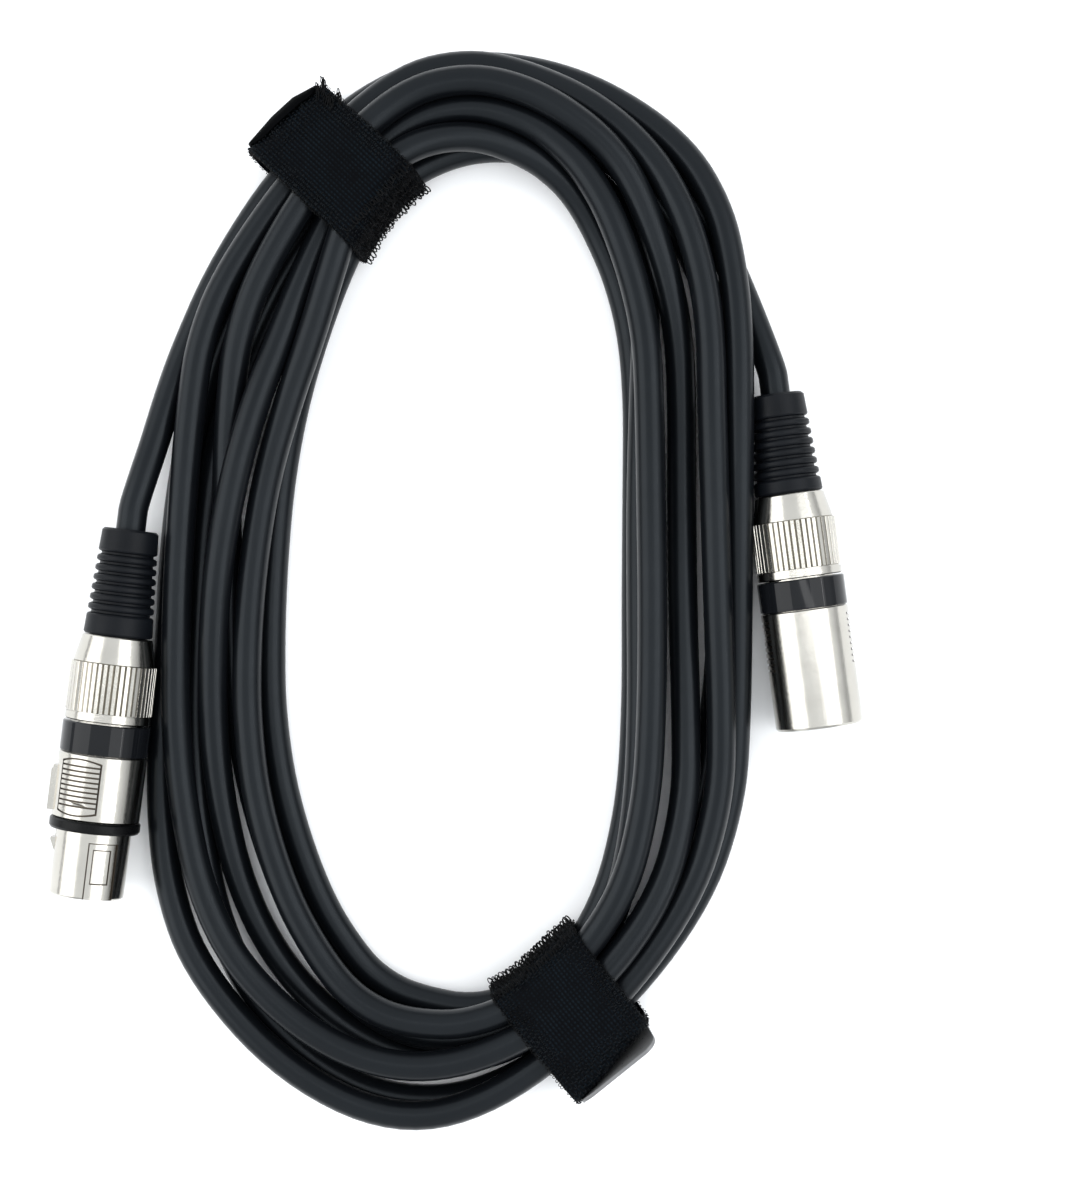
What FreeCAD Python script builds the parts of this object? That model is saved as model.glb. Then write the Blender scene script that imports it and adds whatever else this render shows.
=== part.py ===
import FreeCAD, Part
import math, os

os.makedirs("parts", exist_ok=True)
V = FreeCAD.Vector

# ---- driving dimensions, mm. Row frame: +Z up from the rest surface, origin
# ---- under the middle of the object's box, connectors pointing to -Y ----
CABLE_D = 6.4
SHELL_R = 9.5
PLUG_R = 8.05          # female plug barrel, outside
PLUG_BORE_R = 7.2
CAVITY_R = 8.25        # male shell cavity
STUB_R = 7.2           # threaded rear stub of either shell, plain here
SEAT_R = 8.0           # seat of the glossy ring
RUN = 0.1              # radial running clearance of nut on stub and boot on cable
CONTACT_CIRCLE_R = 5.0
PIN_R = 1.2
CONTACT_BORE_R = 1.25
BOOT_MOUTH_R = 6.1
BOOT_BASE_R = 7.5
BOOT_SLITS = 7
BOOT_PITCH = 2.14
BOOT_GROOVE = [(-0.75, 0.0), (-0.45, 0.22), (-0.22, 0.8), (0.22, 0.8), (0.45, 0.22), (0.75, 0.0)]   # place, depth
KNURL_FLUTES = 48
KNURL_R = 9.35
KNURL_VALLEY_R = 8.85

F_MOUTH = V(-70.76, 14.53, 9.8)     # centre of the female boot's mouth
F_TILT = 6.96                       # degrees off -Y, nose toward -X
M_MOUTH = V(69.96, 44.01, 9.5)
M_TILT = -7.6                       # nose toward +X

COIL_H = 16.6
COIL_EDGE_R = 5.0
STRAP_T = 1.5
STRAP_GAP = 0.15
UPPER_STRAP = {"c": (-23.83, 91.65), "u": (0.7285, -0.6850), "across": 32.2, "width": 20.8, "outer": -1}
LOWER_STRAP = {"c": (25.09, -89.22), "u": (0.6220, -0.7830), "across": 28.0, "width": 22.3, "outer": 1}
STRAP_TOP = 20.0

# plan outline of the hank, outer edge then the edge of its open middle
OUTER = [(-56.87, -89.21), (-61.29, -80.36), (-65.05, -67.09), (-67.35, -52.64), (-66.8, -35.93), (-64.6, -18.93),
         (-64.0, -2.94), (-64.1, 7.99), (-63.1, 18.26), (-62.11, 27.66), (-60.15, 37.5), (-57.96, 46.24),
         (-55.77, 56.08), (-53.15, 68.1), (-49.65, 77.93), (-45.6, 87.4), (-41.6, 96.3), (-29.6, 108.4),
         (-19.0, 114.2), (-8.62, 116.99), (1.16, 117.86), (9.85, 117.42), (19.62, 116.12), (31.57, 112.64),
         (42.48, 107.43), (51.69, 99.58), (58.67, 87.59), (62.38, 77.77), (64.34, 66.87), (64.3, 57.5),
         (62.69, 48.43), (62.69, 38.59), (63.34, 25.48), (64.0, 12.36), (64.65, -5.12), (64.22, -26.98),
         (62.47, -44.46), (56.57, -66.32), (51.1, -79.43), (42.14, -90.8), (25.56, -110.48), (17.0, -113.6),
         (7.27, -115.4), (-3.57, -116.9), (-13.52, -117.85), (-24.58, -116.63), (-36.74, -111.32), (-47.8, -101.37)]
INNER = [(-27.14, 69.19), (-31.3, 42.96), (-34.79, 25.48), (-36.32, 7.99), (-36.76, -9.49), (-36.32, -26.98),
         (-34.3, -42.46), (-31.3, -54.21), (-25.61, -66.32), (-16.43, -79.43), (-5.5, -87.2), (9.14, -88.2),
         (26.19, -72.84), (31.21, -59.58), (34.27, -44.46), (36.02, -26.98), (36.9, -0.75), (36.9, 42.96),
         (35.2, 58.45), (32.0, 72.38), (24.22, 86.0), (14.17, 93.6), (3.24, 94.9), (-6.82, 91.92), (-20.0, 76.4)]


# ---- small builders ----
def rev(points):
    """Solid of revolution about local Z from (radius, distance) points."""
    w = Part.makePolygon([V(r, 0, a) for r, a in points] + [V(points[0][0], 0, points[0][1])])
    return Part.Face(w).revolve(V(0, 0, 0), V(0, 0, 1), 360)


def box(x0, x1, y0, y1, z0, z1):
    return Part.makeBox(x1 - x0, y1 - y0, z1 - z0, V(x0, y0, z0))


def cyl(r, a0, a1, x=0.0, y=0.0):
    return Part.makeCylinder(r, a1 - a0, V(x, y, a0), V(0, 0, 1))


def sector(r0, r1, a0, a1, mid, span):
    big = Part.makeCylinder(r1, a1 - a0, V(0, 0, a0), V(0, 0, 1), span)
    s = big.cut(cyl(r0, a0 - 1, a1 + 1))
    s.rotate(V(0, 0, 0), V(0, 0, 1), mid - span / 2.0)
    return s


def spun(shape, deg):
    s = shape.copy()
    s.rotate(V(0, 0, 0), V(0, 0, 1), deg)
    return s


def ball(r, p):
    return Part.makeSphere(r, p)


def rod(r, p, q):
    return Part.makeCylinder(r, (q - p).Length, p, q - p)


def contact_at(phi):
    t = math.radians(phi)
    return CONTACT_CIRCLE_R * math.cos(t), CONTACT_CIRCLE_R * math.sin(t)


def seated(shape, mouth, tilt):
    """Local Z runs from the boot's mouth to the nose, local X is up, local Y is the photo's left."""
    t = math.radians(tilt)
    d = V(-math.sin(t), -math.cos(t), 0)
    rot = FreeCAD.Rotation(V(0, 0, 1), V(d.y, -d.x, 0), d, "ZXY")
    s = shape.copy()
    s.Placement = FreeCAD.Placement(mouth, rot).multiply(s.Placement)
    return s


def along(mouth, tilt, a):
    t = math.radians(tilt)
    return mouth + V(-math.sin(t), -math.cos(t), 0) * a


SOLIDS = {}


def put(name, shape):
    if shape.ShapeType != "Solid":
        if len(shape.Solids) != 1:
            raise RuntimeError("%s has %d solids" % (name, len(shape.Solids)))
        shape = shape.Solids[0]
    if not shape.isValid():
        raise RuntimeError(name + " isn't valid")
    SOLIDS[name] = shape


# ---- parts that both connectors share ----
def boot_shape(length):
    neck = length + 5.1
    outline = [(3.3, 0.0), (BOOT_MOUTH_R - 0.5, 0.0), (BOOT_MOUTH_R, 0.5)]
    for i in range(BOOT_SLITS):
        mid = 5.5 + BOOT_PITCH * i
        for da, depth in BOOT_GROOVE:
            a = mid + da
            outline.append((BOOT_MOUTH_R + (BOOT_BASE_R - 0.05 - BOOT_MOUTH_R) * (a - 0.5) / (length - 1.0) - depth, a))
    return rev(outline + [(BOOT_BASE_R - 0.05, length - 0.5), (BOOT_BASE_R - 0.35, length - 0.1), (6.0, length - 0.1),
                          (6.0, neck), (7.0, neck), (7.0, neck + 1.5), (3.3, neck + 1.5)])


def nut_shape(a0, cone_end, knurl_end, end):
    outer = rev([(0, a0 + 0.1), (7.3, a0 + 0.1), (7.6, a0 + 0.4), (8.85, cone_end - 0.1), (8.65, cone_end + 0.2),
                 (8.65, knurl_end - 0.2), (8.85, knurl_end + 0.1), (8.85, knurl_end + 0.3),
                 (9.2, knurl_end + 0.3), (9.2, end - 0.3), (8.95, end - 0.1), (0, end - 0.1)])
    pts = []
    for i in range(KNURL_FLUTES):
        for share, r in ((-0.3, KNURL_R), (0.3, KNURL_R), (0.5, KNURL_VALLEY_R)):
            t = 2 * math.pi * (i + share) / KNURL_FLUTES
            pts.append(V(r * math.cos(t), r * math.sin(t), cone_end + 0.1))
    star = Part.Face(Part.makePolygon(pts + [pts[0]])).extrude(V(0, 0, knurl_end - cone_end - 0.1))
    body = outer.fuse(star)
    body = body.cut(cyl(6.0 + RUN, a0 - 1, a0 + 6))
    return body.cut(cyl(STUB_R + RUN, a0 + 5.0, end + 1)).removeSplitter()


def lead_shape(phi, a0, spread, end):
    t = math.radians(phi)
    c, s = math.cos(t), math.sin(t)
    p = V(1.4 * c, 1.4 * s, a0)
    q = V(CONTACT_CIRCLE_R * c, CONTACT_CIRCLE_R * s, spread)
    e = V(q.x, q.y, end)
    return rod(0.5, p, q).fuse([ball(0.5, q), rod(0.5, q, e)]).removeSplitter()


def pad_grooves(mid, a0, n, pitch, wide, spread):
    return [sector(SHELL_R - 0.32, SHELL_R + 1, a0 + pitch * i, a0 + pitch * i + wide, mid, spread) for i in range(n)]


def pad_outline(mid, half, a0, a1, bow):
    def loop(e):
        p = [V(0, half - e, a0 + e), V(0, 0, a0 - bow + e), V(0, e - half, a0 + e),
             V(0, e - half, a1 - e), V(0, 0, a1 + bow - e), V(0, half - e, a1 - e)]
        wire = Part.Wire([Part.Arc(p[0], p[1], p[2]).toShape(), Part.LineSegment(p[2], p[3]).toShape(),
                          Part.Arc(p[3], p[4], p[5]).toShape(), Part.LineSegment(p[5], p[0]).toShape()])
        return Part.Face(wire).extrude(V(14, 0, 0))
    band = cyl(SHELL_R + 1, a0 - 3, a1 + 3).cut(cyl(SHELL_R - 0.32, a0 - 4, a1 + 4))
    return spun(loop(0.0).cut(loop(0.35)).common(band), mid)


# ---- female connector (distances from the boot's mouth) ----
F_NUT, F_CONE, F_KNURL, F_RING, F_SHELL = 23.3, 29.3, 40.0, 42.1, 49.15
F_FRONT_RING, F_PLUG, F_END = 63.45, 65.85, 80.15
LATCH = 90.0                       # local angle of the thumb latch
F_CONTACTS = [0.0, 180.0, 270.0]
LATCH_PIVOT = (7.8, 53.2)           # local Y and distance of the latch's hinge axis
LATCH_PIN_R = 0.6

shell = rev([(6.2, 31.0), (7.0, 31.0), (STUB_R, 31.3), (STUB_R, F_RING + 0.1), (SEAT_R, F_RING + 0.1),
             (SEAT_R, F_SHELL), (SHELL_R - 0.25, F_SHELL), (SHELL_R, F_SHELL + 0.25), (SHELL_R, F_FRONT_RING - 0.35),
             (SHELL_R - 0.3, F_FRONT_RING), (8.6, F_FRONT_RING), (8.6, F_PLUG), (PLUG_R, F_PLUG),
             (PLUG_R, F_END - 0.4), (PLUG_R - 0.3, F_END), (PLUG_BORE_R, F_END), (PLUG_BORE_R, 49.3),
             (6.9, 49.3), (6.9, 44.2), (6.2, 44.2)])
# thumb latch's window and the slot of its arm
shell = shell.cut(box(-3.5, 3.5, 6.0, 12, 51.5, 62.5).fuse(box(-2.2, 2.2, 6.0, 9.5, 62.4, 72.0)))
# holes for the latch lever's trunnions
shell = shell.cut(Part.makeCylinder(LATCH_PIN_R + RUN, 8.1, V(-4.05, LATCH_PIVOT[0], LATCH_PIVOT[1]), V(1, 0, 0)))
cut = []
for mid in (LATCH - 70, LATCH + 70):
    cut += pad_grooves(mid, 51.5, 9, 1.08, 0.4, 57)
    cut.append(pad_outline(mid, 4.9, 50.75, 61.75, 0.75))
for c in cut:
    shell = shell.cut(c)
# shallow coding recess with a deeper pocket on the plug barrel, open at the nose
shell = shell.cut(sector(PLUG_R - 0.4, 10, 68.0, 81.0, -29, 47))
shell = shell.cut(sector(PLUG_R - 0.6, 10, 69.4, 76.7, -28, 29))
# key slot, open at the nose
shell = shell.cut(box(-1.6, 1.6, 6.0, PLUG_R - 0.3, 72.0, 81.0))
put("female_shell", shell)

lever = box(-3.3, 3.3, 7.6, 11.0, 52.4, 62.2).common(cyl(10.7, 50, 64))
lever = lever.cut(box(-4, 4, 10.2, 12, 51, 54.0)).cut(box(-4, 4, 9.85, 12, 51, 53.2))
for i in range(4):
    lever = lever.cut(box(-4, 4, 10.35, 12, 55.2 + 1.7 * i, 55.9 + 1.7 * i))
hook = Part.Face(Part.makePolygon([V(-1.9, 7.2, 68.2), V(-1.9, 8.9, 68.2), V(-1.9, 8.9, 68.8), V(-1.9, 7.9, 71.0),
                                   V(-1.9, 7.2, 71.0), V(-1.9, 7.2, 68.2)])).extrude(V(3.8, 0, 0))
arm = box(-1.9, 1.9, 6.9, 7.9, 52.6, 71.0)
knuckle = Part.makeCylinder(0.9, 6.6, V(-3.3, LATCH_PIVOT[0], LATCH_PIVOT[1]), V(1, 0, 0))
trunnions = Part.makeCylinder(LATCH_PIN_R, 7.8, V(-3.9, LATCH_PIVOT[0], LATCH_PIVOT[1]), V(1, 0, 0))
lever = lever.fuse([arm, hook, knuckle, trunnions]).removeSplitter()
put("female_latch_lever", lever)

leaf_pts = [(54.3, 5.12), (58.0, 5.12), (64.6, 6.50), (66.2, 6.50), (66.2, 6.75), (64.5, 6.75), (57.9, 5.37), (54.3, 5.37)]
leaf = Part.Face(Part.makePolygon([V(-1.4, y, a) for a, y in leaf_pts] + [V(-1.4, 5.12, 54.3)])).extrude(V(2.8, 0, 0))
put("female_latch_spring", leaf)

put("female_front_ring", rev([(8.6, 63.5), (9.45, 63.5), (9.8, 63.85), (9.8, 65.35), (9.45, 65.85), (8.6, 65.85)]))

insert = rev([(0, 52.0), (PLUG_BORE_R, 52.0), (PLUG_BORE_R, 79.0), (PLUG_BORE_R - 0.2, 79.2), (0, 79.2)])
for phi in F_CONTACTS:
    x, y = contact_at(phi)
    insert = insert.cut(cyl(1.9, 51, 77.4, x, y)).cut(cyl(1.45, 77, 80, x, y))
insert = insert.cut(box(-2.5, 2.5, 5.1, 8, 51, 72.5)).cut(box(-3.7, 3.7, 6.15, 8, 51, 63.5))
insert = insert.cut(box(-1.4, 1.4, 5.4, 8, 72.4, 80))
put("female_contact_insert", insert)

contact = rev([(0, 55.0), (1.1, 55.0), (1.1, 49.6), (1.6, 49.6), (1.6, 56.0), (1.9, 56.0), (1.9, 77.4),
               (CONTACT_BORE_R, 77.4), (CONTACT_BORE_R, 60.0), (0, 60.0)])
for i, phi in enumerate(F_CONTACTS):
    x, y = contact_at(phi)
    c = contact.copy()
    c.translate(V(x, y, 0))
    put("female_contact_%d" % (i + 1), c)
    put("female_wire_%d" % (i + 1), lead_shape(phi, 43.9, 48.2, 54.0))

put("female_glossy_ring", rev([(SEAT_R, 42.35), (9.25, 42.35), (SHELL_R, 42.6), (SHELL_R, 48.8), (9.25, 49.05), (SEAT_R, 49.05)]))
put("female_chuck", rev([(CABLE_D / 2, 30.7), (4.5, 30.7), (5.5, 33.0), (5.5, 37.0), (6.2, 37.6), (6.2, 43.4), (CABLE_D / 2, 43.4)]))
put("female_back_nut", nut_shape(F_NUT, F_CONE, F_KNURL, F_RING))
put("female_boot", boot_shape(F_NUT))

for n in list(SOLIDS):
    SOLIDS[n] = seated(SOLIDS[n], F_MOUTH, F_TILT)
female = set(SOLIDS)

# ---- male connector ----
M_NUT, M_CONE, M_KNURL, M_RING, M_SHELL, M_END = 21.8, 27.7, 38.2, 40.3, 47.2, 72.9
WINDOW = 180.0                      # local angle of the latch window: faces the rest surface
M_CONTACTS = [90.0, 270.0, 0.0]
male = {}

shell = rev([(6.2, 29.0), (7.0, 29.0), (STUB_R, 29.3), (STUB_R, M_RING + 0.1), (SEAT_R, M_RING + 0.1),
             (SEAT_R, M_SHELL), (SHELL_R - 0.25, M_SHELL), (SHELL_R, M_SHELL + 0.25), (SHELL_R, M_END - 0.5),
             (SHELL_R - 0.4, M_END), (CAVITY_R + 0.3, M_END), (CAVITY_R, M_END - 0.3), (CAVITY_R, 59.0),
             (7.8, 59.0), (7.8, 47.9), (6.9, 47.9), (6.9, 41.2), (6.2, 41.2)])
for mid in (90.0, -90.0):
    for c in pad_grooves(mid, 48.9, 9, 1.3, 0.5, 56):
        shell = shell.cut(c)
shell = shell.cut(box(-12, -7.5, -2.6, 2.6, 67.4, 70.9))
dish = Part.makeCylinder(4.4, 3.0, V(-12.1, 0, 67.4), V(1, 0, 0)).common(box(-13, -8, -6, 6, 60, 67.4))
shell = shell.cut(dish)
put("male_shell", shell)

insert = rev([(0, 50.0), (7.8, 50.0), (7.8, 59.0), (7.5, 59.3), (0, 59.3)])
insert = insert.fuse(box(-8.15, -6.6, -1.3, 1.3, 58.0, 66.0).common(cyl(8.15, 57, 67).cut(cyl(7.6, 57, 59.0)).fuse(cyl(7.6, 57, 67)))).removeSplitter()
for phi in M_CONTACTS:
    x, y = contact_at(phi)
    insert = insert.cut(cyl(1.6, 49, 60, x, y))
put("male_contact_insert", insert)

pin = rev([(0, 48.5), (1.1, 48.5), (1.1, 45.0), (1.6, 45.0), (1.6, 59.3), (PIN_R, 59.3), (PIN_R, 70.5), (1.05, 70.95),
           (0.7, 71.25), (0, 71.4)])
for i, phi in enumerate(M_CONTACTS):
    x, y = contact_at(phi)
    c = pin.copy()
    c.translate(V(x, y, 0))
    put("male_pin_%d" % (i + 1), c)
    put("male_wire_%d" % (i + 1), lead_shape(phi, 40.6, 43.9, 48.0))

put("male_glossy_ring", rev([(SEAT_R, 40.5), (9.25, 40.5), (SHELL_R, 40.75), (SHELL_R, 46.85), (9.25, 47.1), (SEAT_R, 47.1)]))
put("male_chuck", rev([(CABLE_D / 2, 29.0), (4.5, 29.0), (5.5, 31.0), (5.5, 34.6), (6.2, 35.2), (6.2, 40.0), (CABLE_D / 2, 40.0)]))
put("male_back_nut", nut_shape(M_NUT, M_CONE, M_KNURL, M_RING))
put("male_boot", boot_shape(M_NUT))

for n in list(SOLIDS):
    if n not in female:
        SOLIDS[n] = seated(SOLIDS[n], M_MOUTH, M_TILT)


# ---- cable tails: straight runs joined by tangent arcs ----
def route_wire(points, radius, label):
    edges, at, radii = [], points[0], []
    for i in range(1, len(points) - 1):
        a, b = points[i] - points[i - 1], points[i + 1] - points[i]
        turn = a.getAngle(b)
        r = 0.45 * min(a.Length, b.Length) / math.tan(turn / 2)
        t = 0.45 * min(a.Length, b.Length)
        u, w = a / a.Length, b / b.Length
        p, q = points[i] - u * t, points[i] + w * t
        bis = w - u
        centre_dir = bis / bis.Length
        centre = points[i] + centre_dir * math.sqrt(r * r + t * t)
        to_corner = points[i] - centre
        m = centre + to_corner / to_corner.Length * r
        edges.append(Part.LineSegment(at, p).toShape())
        edges.append(Part.Arc(p, m, q).toShape())
        at = q
        radii.append(round(r, 1))
    edges.append(Part.LineSegment(at, points[-1]).toShape())
    wire = Part.Wire(edges)
    start = points[1] - points[0]
    circle = Part.Wire([Part.makeCircle(radius, points[0], start)])
    tube = wire.makePipeShell([circle], True, True, 2)
    expect = math.pi * radius * radius * wire.Length
    print(label, "arc radii", radii, "length %.1f" % wire.Length, "volume / (section x length) %.4f" % (tube.Volume / expect))
    if abs(tube.Volume / expect - 1) > 0.01:
        raise RuntimeError(label + " folds")
    return tube


def tail(label, mouth, tilt, inside, outside, rest, jacket_end):
    pts = [along(mouth, tilt, inside), along(mouth, tilt, -outside)] + [V(*p) for p in rest]
    tube = route_wire(pts, CABLE_D / 2, label)
    return tube.fuse(rod(CABLE_D / 2, along(mouth, tilt, jacket_end), along(mouth, tilt, inside))).removeSplitter()


put("cable_tail_female", tail("cable_tail_female", F_MOUTH, F_TILT, 4.5, 11.5,
                              [(-63.34, 41.28, 6.0), (-57.42, 55.83, 3.9), (-48.4, 68.4, 3.4)], 43.5))
put("cable_tail_male", tail("cable_tail_male", M_MOUTH, M_TILT, 4.0, 11.5,
                            [(62.93, 70.45, 4.6), (56.55, 82.11, 3.5)], 40.1))


# ---- the hank: one plain closed solid of its outer shape ----
def rounded_wire(pts, cap):
    P = [V(x, y, 0) for x, y in pts]
    n = len(P)
    ends = []
    for i in range(n):
        a, b = P[i] - P[i - 1], P[(i + 1) % n] - P[i]
        turn = a.getAngle(b)
        t = min(0.45 * min(a.Length, b.Length), cap * math.tan(turn / 2))
        if turn < 0.002:
            ends.append((P[i], None, P[i]))
            continue
        r = t / math.tan(turn / 2)
        u, w = a / a.Length, b / b.Length
        bis = w - u
        centre = P[i] + bis / bis.Length * math.sqrt(r * r + t * t)
        back = P[i] - centre
        ends.append((P[i] - u * t, centre + back / back.Length * r, P[i] + w * t))
    edges = []
    for i in range(n):
        p, m, q = ends[i]
        if m is not None:
            edges.append(Part.Arc(p, m, q).toShape())
        nxt = ends[(i + 1) % n][0]
        edges.append(Part.LineSegment(q, nxt).toShape())
    return Part.Wire(edges)


plan = Part.Face([rounded_wire(OUTER, 60.0), rounded_wire(INNER, 60.0)], "Part::FaceMakerCheese")
hank = plan.extrude(V(0, 0, COIL_H))
if len(hank.Solids) == 1:
    hank = hank.Solids[0]
edges = [e for e in hank.Edges if abs(e.BoundBox.ZMax - e.BoundBox.ZMin) < 1e-6]
hank = hank.makeFillet(COIL_EDGE_R, edges)


# ---- straps ----
def strap_box(s, half_across, half_width, z0, z1, corner=None):
    c = V(s["c"][0], s["c"][1], 0)
    u = V(s["u"][0], s["u"][1], 0)
    u.normalize()
    v = V(-u.y, u.x, 0)
    pts = [c + u * (-half_across) + v * (-half_width) + V(0, 0, z0), c + u * half_across + v * (-half_width) + V(0, 0, z0),
           c + u * half_across + v * (-half_width) + V(0, 0, z1), c + u * (-half_across) + v * (-half_width) + V(0, 0, z1)]
    solid = Part.Face(Part.makePolygon(pts + [pts[0]])).extrude(v * (2 * half_width))
    if corner:
        run = [e for e in solid.Edges if abs(abs((e.Vertexes[1].Point - e.Vertexes[0].Point).normalize().dot(v)) - 1) < 1e-4]
        solid = solid.makeFillet(corner, run)
    return solid


def strap(name, s):
    global hank
    ha, hw = s["across"] / 2, s["width"] / 2
    outer = strap_box(s, ha, hw, 0.0, STRAP_TOP, 6.0)
    inner = strap_box(s, ha - STRAP_T, hw + 2, STRAP_T, STRAP_TOP - STRAP_T, 4.6)
    put("strap_%s_band" % name, outer.cut(inner))
    clear_out = strap_box(s, ha + 12, hw + 0.2, -1.0, STRAP_TOP + 1.0)
    clear_in = strap_box(s, ha - STRAP_T - 0.1, hw + 3, STRAP_T + 0.1, STRAP_TOP - STRAP_T - 0.1, 4.5)
    hank = hank.cut(clear_out.cut(clear_in))
    # smooth hook tab on the outer side, pivoting at its lower end
    c = V(s["c"][0], s["c"][1], 0)
    u = V(s["u"][0], s["u"][1], 0)
    u.normalize()
    u = u * s["outer"]
    v = V(-u.y, u.x, 0)
    t, z0, z1 = 1.2, 2.6, 17.6
    mid = ha + STRAP_GAP + t / 2
    half = hw - 1.0
    p = c + u * mid + v * (-half)
    plate = Part.Face(Part.makePolygon([p + u * (-t / 2) + V(0, 0, z0), p + u * (t / 2) + V(0, 0, z0), p + u * (t / 2) + V(0, 0, z1),
                                        p + u * (-t / 2) + V(0, 0, z1), p + u * (-t / 2) + V(0, 0, z0)])).extrude(v * (2 * half))
    top = [e for e in plate.Edges if abs((e.Vertexes[1].Point - e.Vertexes[0].Point).normalize().dot(u)) > 0.99 and e.CenterOfMass.z > z1 - 0.1]
    plate = plate.makeFillet(3.5, top)
    roll = Part.makeCylinder(t / 2, 2 * half, p + V(0, 0, z0), v)
    put("strap_%s_tab" % name, plate.fuse(roll).removeSplitter())
    print("strap_%s_tab pivot" % name, [round(k, 3) for k in (c + u * mid + V(0, 0, z0))], "axis", [round(k, 4) for k in v])


strap("upper", UPPER_STRAP)
strap("lower", LOWER_STRAP)
put("cable_coil", hank)

total = None
for name, shape in SOLIDS.items():
    if not shape.isValid() or not shape.isClosed() or shape.Volume <= 0:
        raise RuntimeError(name + " isn't a closed valid solid")
    shape.exportStep("parts/%s.step" % name)
    b = shape.BoundBox
    if total is None:
        total = FreeCAD.BoundBox(b)
    else:
        total.add(b)
print(len(SOLIDS), "nodes; box X %.2f %.2f Y %.2f %.2f Z %.2f %.2f" % (total.XMin, total.XMax, total.YMin, total.YMax, total.ZMin, total.ZMax))
for label, mouth, tilt, marks in (("female", F_MOUTH, F_TILT, {"pivot": 53.2, "contact_face": 77.4, "plug_front": F_END, "nut": 35.0, "boot": 12.0}),
                                  ("male", M_MOUTH, M_TILT, {"pin_root": 59.3, "pin_tip": 71.4, "shell_front": M_END, "nut": 33.0, "boot": 12.0})):
    t = math.radians(tilt)
    print(label, "axis", round(-math.sin(t), 5), round(-math.cos(t), 5), {k: [round(c, 3) for c in along(mouth, tilt, a)] for k, a in marks.items()})
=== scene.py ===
import bpy, bmesh, math, random
import numpy as np
from mathutils import Vector, Matrix, noise


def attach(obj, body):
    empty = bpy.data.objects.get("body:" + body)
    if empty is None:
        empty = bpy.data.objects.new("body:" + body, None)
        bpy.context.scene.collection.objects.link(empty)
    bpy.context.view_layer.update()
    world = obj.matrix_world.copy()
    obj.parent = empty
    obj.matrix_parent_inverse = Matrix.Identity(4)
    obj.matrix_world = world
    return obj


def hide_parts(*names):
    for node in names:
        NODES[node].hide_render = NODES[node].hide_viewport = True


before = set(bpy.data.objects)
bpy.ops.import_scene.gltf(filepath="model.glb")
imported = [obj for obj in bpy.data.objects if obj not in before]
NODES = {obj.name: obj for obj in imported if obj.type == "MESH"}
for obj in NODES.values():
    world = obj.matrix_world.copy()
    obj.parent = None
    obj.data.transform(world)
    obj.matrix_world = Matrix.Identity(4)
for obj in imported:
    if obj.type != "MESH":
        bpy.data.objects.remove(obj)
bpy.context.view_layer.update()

SC = bpy.context.scene
COL = SC.collection

# ---------------------------------------------------------------- camera
# straight above the hank; image frame 1076 x 1200
CAM_X, CAM_Y, CAM_Z = 0.0181, -0.00075, 0.5
FOCAL_PX, FRAME_W, FRAME_H = 2246.5, 1076.0, 1200.0
cam_data = bpy.data.cameras.new("camera")
cam_data.sensor_fit = "VERTICAL"
cam_data.sensor_height = 24.0
cam_data.lens = 24.0 * FOCAL_PX / FRAME_H
cam_data.clip_start, cam_data.clip_end = 0.01, 50.0
cam = bpy.data.objects.new("camera", cam_data)
cam.location = (CAM_X, CAM_Y, CAM_Z)
cam.rotation_euler = (0.0, 0.0, 0.0)
COL.objects.link(cam)
SC.camera = cam

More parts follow.
